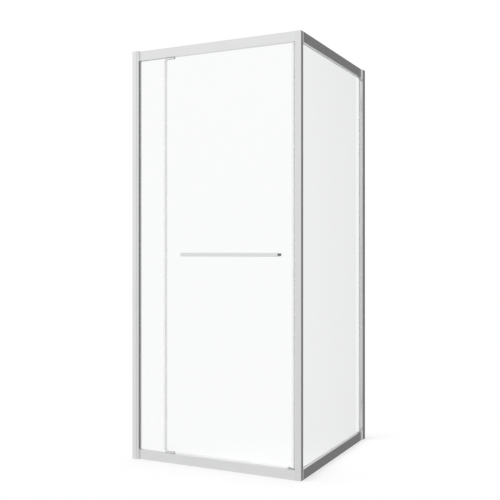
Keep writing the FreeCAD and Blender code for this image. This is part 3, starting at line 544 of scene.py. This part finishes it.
def pane_gasket(name, node, opening, face, side, material, slot):
    """Gasket on one face of a pane, mitred round the opening.

    The opening gives the axis that the pane runs in (0 for X, 1 for Y), its two ends on that
    axis, its two heights, and whether the run stops at the second end and leaves that side free.
    The side points from the face away from the glass.
    """
    axis, spans, levels, open_end = opening
    low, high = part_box(node)
    outline = gasket_outline((high - low)[1 - axis], bpy.context.scene.soft_finish)
    ends = ((spans[0], -1), (spans[1], 0 if open_end else 1))
    heights = ((levels[0], -1), (levels[1], 1))

    def corner(end, height):
        def place(u, v):
            run, across, level = end[0] + end[1] * v, face + side * u, height[0] + height[1] * v
            return (across, run, level) if axis else (run, across, level)
        return place

    order = [(1, 0), (0, 0), (0, 1), (1, 1)]  # from the free end below to the free end above
    stations = [corner(ends[i], heights[j]) for i, j in order]
    piece = swept_piece(name, outline, stations, not open_end, material)
    stand_for(piece, node, "frame")


# Operators
class ENCLOSURE_OT_frame_profiles(bpy.types.Operator):
    """Satin aluminium on jambs, post, rails, infill strips and end caps"""
    bl_idname = "enclosure.frame_profiles"
    bl_label = "Frame Profiles"

    def execute(self, context):
        metal = context.scene.metal_finish
        groups = {
            "upright": (UPRIGHTS, metal.upright, ALONG_Z),
            "cap": (CAPS, metal.upright, ALONG_Y),
            "front_rail": (FRONT_RAILS, metal.rail, ALONG_X),
            "side_rail": (SIDE_RAILS, metal.rail, ALONG_Y),
        }
        for name, (nodes, tint, direction) in groups.items():
            finish = satin_metal(f"aluminium_{name}", tint, metal.satin, direction,
                                 metal.line_width)
            apply_finish(finish, nodes)
        return {"FINISHED"}


class ENCLOSURE_OT_wall_channels(bpy.types.Operator):
    """Brighter aluminium on the left wall channel, and on the back one a darker colour that is
    painted shade
    """
    bl_idname = "enclosure.wall_channels"
    bl_label = "Wall Channels"

    def execute(self, context):
        metal = context.scene.metal_finish
        # The left channel keeps its own tone; the back channel's darker tone is painted shade
        for side, tint in (("left", metal.left_channel), ("back", metal.back_channel_painted_shade)):
            finish = satin_metal(f"aluminium_{side}_channel", tint, metal.channel_roughness,
                                 ALONG_Z, metal.line_width)
            apply_finish(finish, (f"{side}_wall_channel",))
        return {"FINISHED"}


class ENCLOSURE_OT_panes(bpy.types.Operator):
    """Clear toughened glass on the fixed pane, the side pane and the door"""
    bl_idname = "enclosure.panes"
    bl_label = "Panes"

    def execute(self, context):
        apply_finish(clear_pane("toughened_glass", context.scene.glass_finish), PANES)
        return {"FINISHED"}


class ENCLOSURE_OT_gaskets(bpy.types.Operator):
    """Gaskets with a soft lip round the fixed pane and the side pane"""
    bl_idname = "enclosure.gaskets"
    bl_label = "Gaskets"

    def execute(self, context):
        soft = context.scene.soft_finish
        rubber = moulded_plastic("gasket_rubber", soft.gasket, soft.gasket_roughness,
                                 soft.gasket_grain)
        outer, inner = (rubber, "grey_gasket"), (pale_vinyl("gasket_pale", soft), "clear_seal")
        proud = soft.gasket_proud

        low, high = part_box("fixed_panel_glass")
        spans = (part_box("left_jamb")[1].x + proud, high.x)
        levels = (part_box("front_sill")[1].z + proud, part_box("front_header")[0].z - proud)
        opening = (0, spans, levels, True)
        pane_gasket("front_outer_gasket", "fixed_panel_outer_gasket", opening, low.y, -1, *outer)
        pane_gasket("front_inner_gasket", "fixed_panel_inner_gasket", opening, high.y, 1, *inner)

        low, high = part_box("side_panel_glass")
        spans = (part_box("corner_post")[1].y + proud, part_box("back_jamb")[0].y - proud)
        levels = (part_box("side_sill")[1].z + proud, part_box("side_header")[0].z - proud)
        opening = (1, spans, levels, False)
        pane_gasket("return_outer_gasket", "side_panel_outer_gasket", opening, high.x, 1, *outer)
        pane_gasket("return_inner_gasket", "side_panel_inner_gasket", opening, low.x, -1, *inner)
        return {"FINISHED"}


class ENCLOSURE_OT_edge_seal(bpy.types.Operator):
    """Clear seal on the free edge of the fixed pane, with a fin towards the door"""
    bl_idname = "enclosure.edge_seal"
    bl_label = "Edge Seal"

    def execute(self, context):
        soft = context.scene.soft_finish
        low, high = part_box("fixed_panel_edge_seal")
        glass_low, glass_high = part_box("fixed_panel_glass")
        middle = (glass_low.y + glass_high.y) / 2
        half = (high.y - low.y) / 2
        inner = half - soft.wall
        grip, back, tip = glass_high.x - low.x, soft.wall, high.x - glass_high.x
        section = [(soft.seat, inner, 0), (-grip, inner, LIP_EASE), (-grip, half, LIP_EASE),
                   (back, half, EDGE_BACK_EASE), (back, EDGE_FIN_ROOT, NOOK_EASE),
                   (tip, EDGE_FIN_TIP, NOOK_EASE)]
        piece = straight_seal("fixed_edge_seal", section,
                              upright_stations(glass_high.x, middle, (low.z, high.z)),
                              clear_vinyl("seal_vinyl_edge", soft.clear))
        fin = moulded_plastic("seal_fin", soft.fin_pale, soft.fin_roughness, soft.grain)
        piece.data.materials.append(fin)
        for face in piece.data.polygons:
            face.material_index = int(face.center.x > glass_high.x + soft.seat)
        stand_for(piece, "fixed_panel_edge_seal", "frame")
        return {"FINISHED"}


class ENCLOSURE_OT_bottom_seal(bpy.types.Operator):
    """Clear sweep under the door with two fins that curve out"""
    bl_idname = "enclosure.bottom_seal"
    bl_label = "Bottom Seal"

    def execute(self, context):
        soft = context.scene.soft_finish
        low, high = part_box("door_bottom_seal")
        glass_low, glass_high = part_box("door_glass")
        middle = (glass_low.y + glass_high.y) / 2
        half = (high.y - low.y) / 2
        inner = half - soft.wall
        root = half - SWEEP_INSET
        root_inside = root - soft.fin
        top, tip = high.z - glass_low.z, low.z - glass_low.z
        base = -soft.seat - soft.wall
        bow = (base + tip) / 2
        section = [(-soft.seat, inner, 0), (top, inner, LIP_EASE), (top, half, LIP_EASE),
                   (base, half, BACK_EASE), (base, root, SWEEP_ROOT_EASE),
                   (bow, root + SWEEP_BOW_OUT, SWEEP_BOW_EASE),
                   (tip, half, SWEEP_TIP_EASE), (tip, half - soft.fin, SWEEP_TIP_EASE),
                   (bow, root_inside + SWEEP_BOW_IN, SWEEP_BOW_EASE),
                   (base, root_inside, SWEEP_ROOT_EASE)]
        stations = [lambda u, v, x=x: (x, middle + v, glass_low.z + u) for x in (low.x, high.x)]
        piece = straight_seal("door_sweep", section, stations,
                              clear_vinyl("seal_vinyl_sweep", soft.clear))
        stand_for(piece, "door_bottom_seal", "door")
        return {"FINISHED"}


class ENCLOSURE_OT_magnet_seals(bpy.types.Operator):
    """Magnet seals on the strike edge of the door and in the slot of the post"""
    bl_idname = "enclosure.magnet_seals"
    bl_label = "Magnet Seals"

    def execute(self, context):
        soft = context.scene.soft_finish
        apply_finish(moulded_plastic("magnet_rubber", soft.magnet, soft.magnet_roughness,
                                     soft.grain), MAGNETS)
        glass_low, glass_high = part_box("door_glass")
        middle = (glass_low.y + glass_high.y) / 2

        low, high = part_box("door_magnet_seal")
        half = (high.y - low.y) / 2
        seat = soft.seat
        inner = (glass_high.y - glass_low.y) / 2 + seat
        outer = inner + soft.wall
        grip, nose = glass_high.x - low.x, high.x - glass_high.x
        section = [(seat, inner, 0), (-grip, inner, LIP_EASE), (-grip, outer, LIP_EASE),
                   (seat, outer, BACK_EASE), (seat, half, NOOK_EASE), (nose, half, soft.ease)]
        piece = straight_seal("door_strike_seal", section,
                              upright_stations(glass_high.x, middle, (low.z, high.z)),
                              clear_vinyl("seal_vinyl_strike", soft.clear))
        stand_for(piece, "door_magnet_seal", "door")

        low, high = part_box("post_magnet_seal")
        post_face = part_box("corner_post")[0].x
        half = (high.y - low.y) / 2
        nose, tongue = low.x - post_face, high.x - post_face
        section = [(nose, half, soft.ease), (0, half, LIP_EASE), (0, STEM_HALF, 0),
                   (NECK, STEM_HALF, 0), (NECK, HEAD_HALF, 0), (tongue, HEAD_HALF, TONGUE_EASE)]
        piece = straight_seal("post_strike_seal", section,
                              upright_stations(post_face, middle, (low.z, high.z)),
                              pale_vinyl("seal_pale", soft))
        stand_for(piece, "post_magnet_seal", "frame")
        return {"FINISHED"}


class ENCLOSURE_OT_pivots(bpy.types.Operator):
    """Chrome shoes, steel pins, bushes and housings of the door's pivots"""
    bl_idname = "enclosure.pivots"
    bl_label = "Pivots"

    def execute(self, context):
        metal = context.scene.metal_finish
        plastic = context.scene.plastic_finish
        apply_finish(polished_plating("chrome_shoe", metal), SHOES)
        apply_finish(screw_steel("steel_pivot", metal, ALONG_Z), PIVOT_STEEL)
        apply_finish(clear_vinyl("shoe_liner_vinyl", context.scene.soft_finish.clear), SHOE_LINERS)
        acetal = moulded_plastic("pivot_acetal", plastic.pale, plastic.bush_roughness,
                                 plastic.grain)
        apply_finish(acetal, PIVOT_BUSHES + PIVOT_HOUSINGS)
        return {"FINISHED"}


class ENCLOSURE_OT_handle(bpy.types.Operator):
    """Chrome bar handle with its stand-offs, covers, washers and screws"""
    bl_idname = "enclosure.handle"
    bl_label = "Handle"

    def execute(self, context):
        metal = context.scene.metal_finish
        clear = context.scene.soft_finish.clear
        apply_finish(polished_plating("chrome_handle", metal), HANDLE_CHROME)
        apply_finish(clear_vinyl("handle_washer_vinyl", clear), HANDLE_CLEAR)
        apply_finish(screw_steel("steel_handle_screw", metal, ALONG_Y), ("handle_screws",))
        return {"FINISHED"}


class ENCLOSURE_OT_door_stop(bpy.types.Operator):
    """Grey stop on the sill with its screw"""
    bl_idname = "enclosure.door_stop"
    bl_label = "Door Stop"

    def execute(self, context):
        metal = context.scene.metal_finish
        plastic = context.scene.plastic_finish
        nylon = moulded_plastic("stop_nylon", plastic.grey, plastic.stop_roughness, plastic.grain)
        apply_finish(nylon, ("door_stop",))
        apply_finish(screw_steel("steel_stop_screw", metal, ALONG_X), ("door_stop_screw",))
        return {"FINISHED"}


class ENCLOSURE_OT_fixings(bpy.types.Operator):
    """Screws, screw covers, keys and setting blocks"""
    bl_idname = "enclosure.fixings"
    bl_label = "Fixings"

    def execute(self, context):
        metal = context.scene.metal_finish
        plastic = context.scene.plastic_finish
        apply_finish(screw_steel("steel_screw", metal, ALONG_X), SCREWS)
        acetals = (("cover_acetal", plastic.cover_roughness, ("jamb_screw_covers",)),
                   ("key_acetal", plastic.key_roughness, HIDDEN_ACETAL))
        for name, roughness, nodes in acetals:
            apply_finish(moulded_plastic(name, plastic.pale, roughness, plastic.grain), nodes)
        return {"FINISHED"}


class ENCLOSURE_OT_stage(bpy.types.Operator):
    """Pale floor, studio light and camera"""
    bl_idname = "enclosure.stage"
    bl_label = "Stage"

    def execute(self, context):
        scene = context.scene
        studio = scene.studio_setup
        scene.view_settings.view_transform = "Standard"
        self.make_room(scene, studio)
        self.make_floor(scene, studio)
        self.make_lamp(scene, studio)
        self.make_camera(scene, studio)
        return {"FINISHED"}

    def make_room(self, scene, studio):
        """White room for the camera, other walls for what metal and glass mirror, and even fill."""
        world = bpy.data.worlds.new("studio_room")
        world.use_nodes = True
        scene.world = world
        world.node_tree.nodes.clear()
        room = Graph(world.node_tree)
        levels = (studio.fill, self.wall_level(room, studio), WHITE_LEVEL)
        fill, walls, white = (self.background(room, level) for level in levels)
        path = room.node("ShaderNodeLightPath").outputs
        shader = room.mix(room.mirrors(path), fill, walls)
        shader = room.mix(room.shows_white(), shader, white)
        room.link(shader, room.node("ShaderNodeOutputWorld").inputs["Surface"])

    def wall_level(self, room, studio):
        """Brightness of the mirrored walls: they get lighter upwards and have a dark side."""
        place = room.node("ShaderNodeTexCoord").outputs["Generated"]
        parts = room.node("ShaderNodeSeparateXYZ")
        room.link(place, parts.inputs["Vector"])
        height = room.mapped(parts.outputs["Z"], -WALL_SLOPE, WALL_SLOPE,
                             studio.wall_low, studio.wall_high)
        flat = room.vector("MULTIPLY", place, (1, 1, 0))["Vector"]
        bearing = room.vector("NORMALIZE", flat)["Vector"]
        dark_middle = (math.sin(studio.dark_turn), math.cos(studio.dark_turn), 0)
        nearness = room.vector("DOT_PRODUCT", bearing, dark_middle)["Value"]
        edges = [math.cos(turn) for turn in (studio.dark_fade, studio.dark_half)]
        dark = room.ramp(nearness, edges, (BLACK, WHITE), "EASE")
        return room.mapped(dark, 0, 1, height, studio.dark_side)

    def background(self, room, level):
        """White light of one level."""
        made = room.node("ShaderNodeBackground")
        room.feed((made.inputs["Color"], made.inputs["Strength"]), (WHITE, level))
        return made.outputs["Background"]

    def make_floor(self, scene, studio):
        """Floor that looks as white as the room wherever the enclosure doesn't shade it."""
        mesh = bpy.data.meshes.new("floor")
        square = ((-1, -1), (1, -1), (1, 1), (-1, 1))
        corners = [(x * FLOOR_REACH, y * FLOOR_REACH, 0) for x, y in square]
        mesh.from_pydata(corners, [], [(0, 1, 2, 3)])
        finish = Finish("floor_pale")
        finish.set(Base_Color=(*studio.floor, 1), Specular_IOR_Level=0.0, Emission_Color=WHITE)
        lit = studio.floor[0] * (studio.fill + studio.lamp * LAMP_FROM.z / math.pi)
        lift = finish.math("MULTIPLY", finish.shows_white(), WHITE_LEVEL - lit)
        camera = finish.node("ShaderNodeLightPath").outputs["Is Camera Ray"]
        margin = finish.math("MULTIPLY", camera, FLOOR_MARGIN)
        finish.link(finish.math("ADD", lift, margin), finish.shader.inputs["Emission Strength"])
        mesh.materials.append(finish.material)
        floor = bpy.data.objects.new("floor", mesh)
        floor.visible_glossy = False
        scene.collection.objects.link(floor)

    def make_lamp(self, scene, studio):
        """Broad soft lamp from the front, left and above."""
        lamp = bpy.data.lights.new("key_lamp", "SUN")
        lamp.energy = studio.lamp
        lamp.angle = LAMP_SPREAD
        made = bpy.data.objects.new("key_lamp", lamp)
        made.rotation_euler = (-LAMP_FROM).to_track_quat("-Z", "Y").to_euler()
        made.visible_glossy = False
        scene.collection.objects.link(made)

    def make_camera(self, scene, studio):
        """Level camera at the photograph's angle."""
        data = bpy.data.cameras.new("camera")
        data.lens = studio.lens
        data.sensor_width = SENSOR_WIDTH
        camera = bpy.data.objects.new("camera", data)
        camera.location = studio.camera_place
        camera.rotation_euler = (LEVEL_VIEW, 0, studio.camera_turn)
        scene.collection.objects.link(camera)
        scene.camera = camera


class ENCLOSURE_PT_panel(bpy.types.Panel):
    """Sidebar panel with every step and every setting"""
    bl_idname = "ENCLOSURE_PT_panel"
    bl_label = "Shower Enclosure"
    bl_space_type = "VIEW_3D"
    bl_region_type = "UI"
    bl_category = "Enclosure"

    def draw(self, context):
        for step in STEPS:
            self.layout.operator(step.bl_idname)
        for name in GROUPS:
            box = self.layout.box()
            group = getattr(context.scene, name)
            for setting in group.bl_rna.properties:
                if setting.identifier not in ("name", "rna_type"):
                    box.prop(group, setting.identifier)


STEPS = (
    ENCLOSURE_OT_frame_profiles,
    ENCLOSURE_OT_wall_channels,
    ENCLOSURE_OT_panes,
    ENCLOSURE_OT_gaskets,
    ENCLOSURE_OT_edge_seal,
    ENCLOSURE_OT_bottom_seal,
    ENCLOSURE_OT_magnet_seals,
    ENCLOSURE_OT_pivots,
    ENCLOSURE_OT_handle,
    ENCLOSURE_OT_door_stop,
    ENCLOSURE_OT_fixings,
    ENCLOSURE_OT_stage,
)
GROUPS = {
    "metal_finish": MetalFinish,
    "glass_finish": GlassFinish,
    "soft_finish": SoftFinish,
    "plastic_finish": PlasticFinish,
    "studio_setup": StudioSetup,
}


def register():
    """Add the settings, the operators and the panel."""
    for name, group in GROUPS.items():
        bpy.utils.register_class(group)
        setattr(bpy.types.Scene, name, PointerProperty(type=group))
    for step in STEPS:
        bpy.utils.register_class(step)
    bpy.utils.register_class(ENCLOSURE_PT_panel)


def unregister():
    """Take them away again."""
    bpy.utils.unregister_class(ENCLOSURE_PT_panel)
    for step in reversed(STEPS):
        bpy.utils.unregister_class(step)
    for name, group in reversed(GROUPS.items()):
        delattr(bpy.types.Scene, name)
        bpy.utils.unregister_class(group)


def main():
    """Run every step in order."""
    register()
    for step in STEPS:
        group, name = step.bl_idname.split(".")
        getattr(getattr(bpy.ops, group), name)()


if __name__ == "__main__":
    main()
